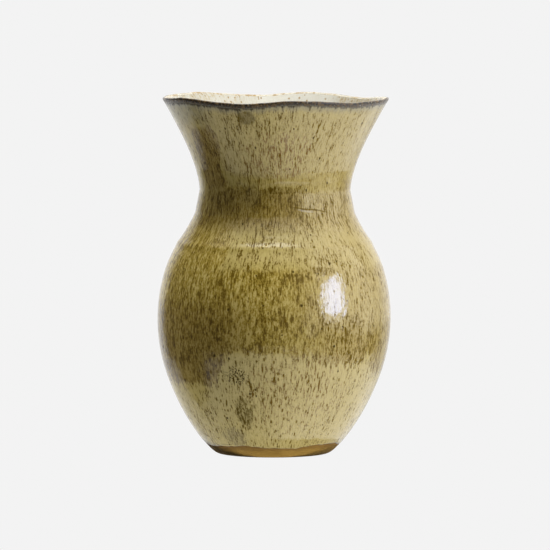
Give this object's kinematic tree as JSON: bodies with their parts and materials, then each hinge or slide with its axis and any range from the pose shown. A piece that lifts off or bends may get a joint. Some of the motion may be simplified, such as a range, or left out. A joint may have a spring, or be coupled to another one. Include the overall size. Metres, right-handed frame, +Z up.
{
  "type": "vase",
  "caption": "Wheel-thrown stoneware vase: round belly, narrow neck and a wide flared mouth with a wavy lip, glazed inside and out above a bare clay foot.",
  "frame": {"origin": "centre of the foot ring's resting plane", "axes": "+Z up along the axis the pot was thrown about, -Y towards the side seen first, +X to the right of that side"},
  "size_m": [0.1442, 0.1442, 0.2216],
  "materials": {
    "bare_stoneware": "matte",
    "outer_glaze": "gloss",
    "liner_glaze": "gloss",
    "iron_glaze": "gloss"
  },
  "bodies": {
    "root": {"stoneware_body": "bare_stoneware", "outer_glaze": "outer_glaze", "liner_glaze": "liner_glaze", "lip_glaze": "iron_glaze"}
  },
  "joints": []
}
